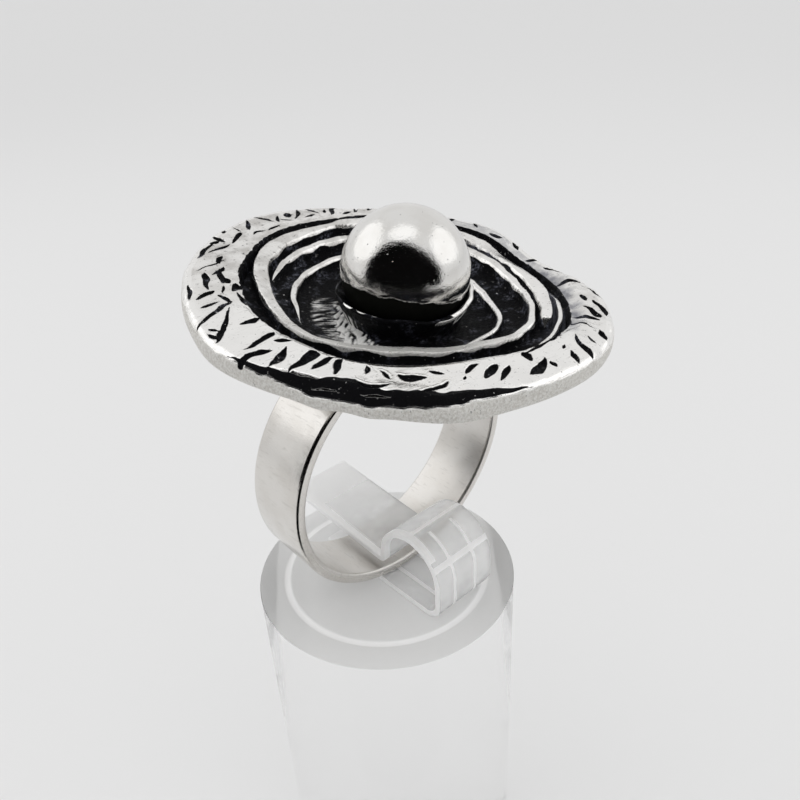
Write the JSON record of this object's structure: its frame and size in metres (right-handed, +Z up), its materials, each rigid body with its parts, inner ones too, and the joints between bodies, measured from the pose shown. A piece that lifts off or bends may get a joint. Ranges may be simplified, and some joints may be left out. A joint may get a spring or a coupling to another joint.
{
  "type": "dome ring on a clear clip stand",
  "caption": "Finger ring with a wide dished head, raised spiral ribs and a round ball in a cup, held upright by a bent clip on a clear round post.",
  "frame": {"origin": "centre of the post's underside, on the surface that the stand rests on", "axes": "+Z up along the post, finger hole along Y with the ring's front towards -Y, +X to the right seen from the front"},
  "size_m": [0.0279, 0.0275, 0.0686],
  "materials": {
    "oxidised_silver": "polished cast silver, blackened in its recesses",
    "satin_silver": "softly polished silver with fine pits",
    "clear_plastic": "clear bent plastic strip",
    "clear_acrylic": "clear cast acrylic rod"
  },
  "bodies": {
    "root": {"ring_body": "oxidised_silver", "ball": "satin_silver", "clip": "clear_plastic", "post": "clear_acrylic"}
  },
  "joints": []
}
